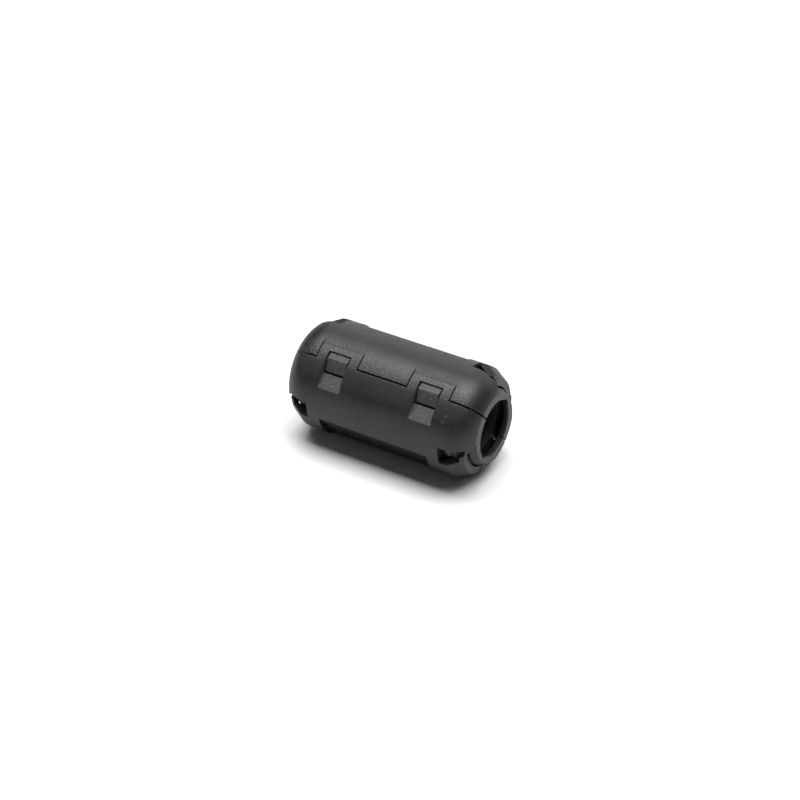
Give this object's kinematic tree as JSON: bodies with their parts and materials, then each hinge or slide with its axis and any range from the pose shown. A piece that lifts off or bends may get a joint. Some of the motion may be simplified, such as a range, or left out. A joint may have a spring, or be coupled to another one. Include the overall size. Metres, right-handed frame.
{
  "type": "clip on ferrite bead",
  "caption": "Clip-on ferrite bead: hinged two-part plastic case with latches, holding a split ferrite tube round a cable.",
  "frame": {"origin": "centre of the cable bore, half way along the case", "axes": "+X along the bore; the latches face -Y and upwards and the hinge +Y and downwards, as the bead lies on a table"},
  "size_m": [0.0322, 0.0174, 0.0174],
  "materials": {
    "case": "black nylon with a fine spark-eroded texture",
    "ferrite": "dark grey sintered ferrite, ground flat where the halves meet"
  },
  "bodies": {
    "base": {"lower_shell": "case", "lower_core": "ferrite"},
    "lid": {"upper_shell": "case", "upper_core": "ferrite"}
  },
  "joints": [
    {"name": "lid_hinge", "type": "hinge", "parent": "base", "child": "lid", "pos_m": [0, 0.00589, -0.0072], "axis": [-1, 0, 0], "range_deg": [0, 150]}
  ]
}
